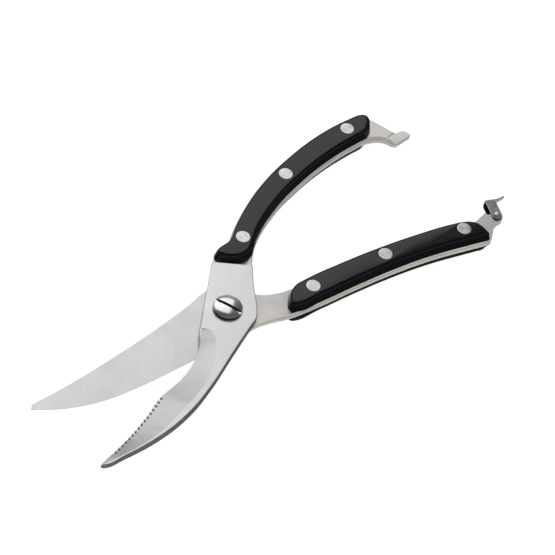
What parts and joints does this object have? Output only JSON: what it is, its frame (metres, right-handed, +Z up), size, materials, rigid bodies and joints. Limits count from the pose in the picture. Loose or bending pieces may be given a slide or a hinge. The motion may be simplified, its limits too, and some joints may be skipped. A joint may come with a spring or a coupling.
{
  "type": "poultry shears",
  "caption": "Spring-opened poultry shears with curved blades, riveted black handle scales, a slotted pivot screw and a swinging latch bail at the handle ends.",
  "frame": {"origin": "middle of the underside of the whole tool, lying on its back with the handles open as in the picture", "axes": "+X from the blade tips to the handle ends, along the bisector of the open handles; +Z up, towards the viewed side"},
  "size_m": [0.2572, 0.092, 0.0157],
  "materials": {
    "front_arm_steel": "forged stainless steel, satin, ground bevel",
    "rear_arm_steel": "forged stainless steel, satin, fine cross grind",
    "upper_front_scale_plastic": "black, semi-gloss",
    "upper_back_scale_plastic": "black, semi-gloss",
    "lower_front_scale_plastic": "black, semi-gloss",
    "lower_back_scale_plastic": "black, semi-gloss",
    "rivet_fronts": "turned and polished",
    "rivet_backs": "turned and polished",
    "pivot_screw_steel": "polished",
    "nut_steel": "plain",
    "washer_steel": "plain",
    "pin_steel": "ground",
    "spring_steel": "drawn wire",
    "latch_pin_steel": "polished",
    "latch_bail_chrome": "plated sheet"
  },
  "bodies": {
    "rear": {"rear_arm": "rear_arm_steel", "lower_front_scale": "lower_front_scale_plastic", "lower_back_scale": "lower_back_scale_plastic", "lower_rivet_1_front": "rivet_fronts", "lower_rivet_1_back": "rivet_backs", "lower_rivet_2_front": "rivet_fronts", "lower_rivet_2_back": "rivet_backs", "lower_rivet_3_front": "rivet_fronts", "lower_rivet_3_back": "rivet_backs", "pivot_screw": "pivot_screw_steel", "pivot_nut": "nut_steel", "pivot_washer": "washer_steel", "stop_pin": "pin_steel", "torsion_spring": "spring_steel", "latch_pin": "latch_pin_steel"},
    "front": {"front_arm": "front_arm_steel", "upper_front_scale": "upper_front_scale_plastic", "upper_back_scale": "upper_back_scale_plastic", "upper_rivet_1_front": "rivet_fronts", "upper_rivet_1_back": "rivet_backs", "upper_rivet_2_front": "rivet_fronts", "upper_rivet_2_back": "rivet_backs", "upper_rivet_3_front": "rivet_fronts", "upper_rivet_3_back": "rivet_backs"},
    "latch": {"latch_bail": "latch_bail_chrome"}
  },
  "joints": [
    {"name": "pivot", "type": "hinge", "parent": "rear", "child": "front", "pos_m": [-0.02646, -0.00617, 0.00895], "axis": [0, 0, -1], "range_deg": [0, 22.3], "stiffness_Nm_per_rad": 0.9, "springref_deg": -17.19, "deforming": ["torsion_spring"]},
    {"name": "latch_swing", "type": "hinge", "parent": "rear", "child": "latch", "pos_m": [0.11594, -0.03717, 0.0068], "axis": [0, 0, 1], "range_deg": [-40, 10]}
  ]
}
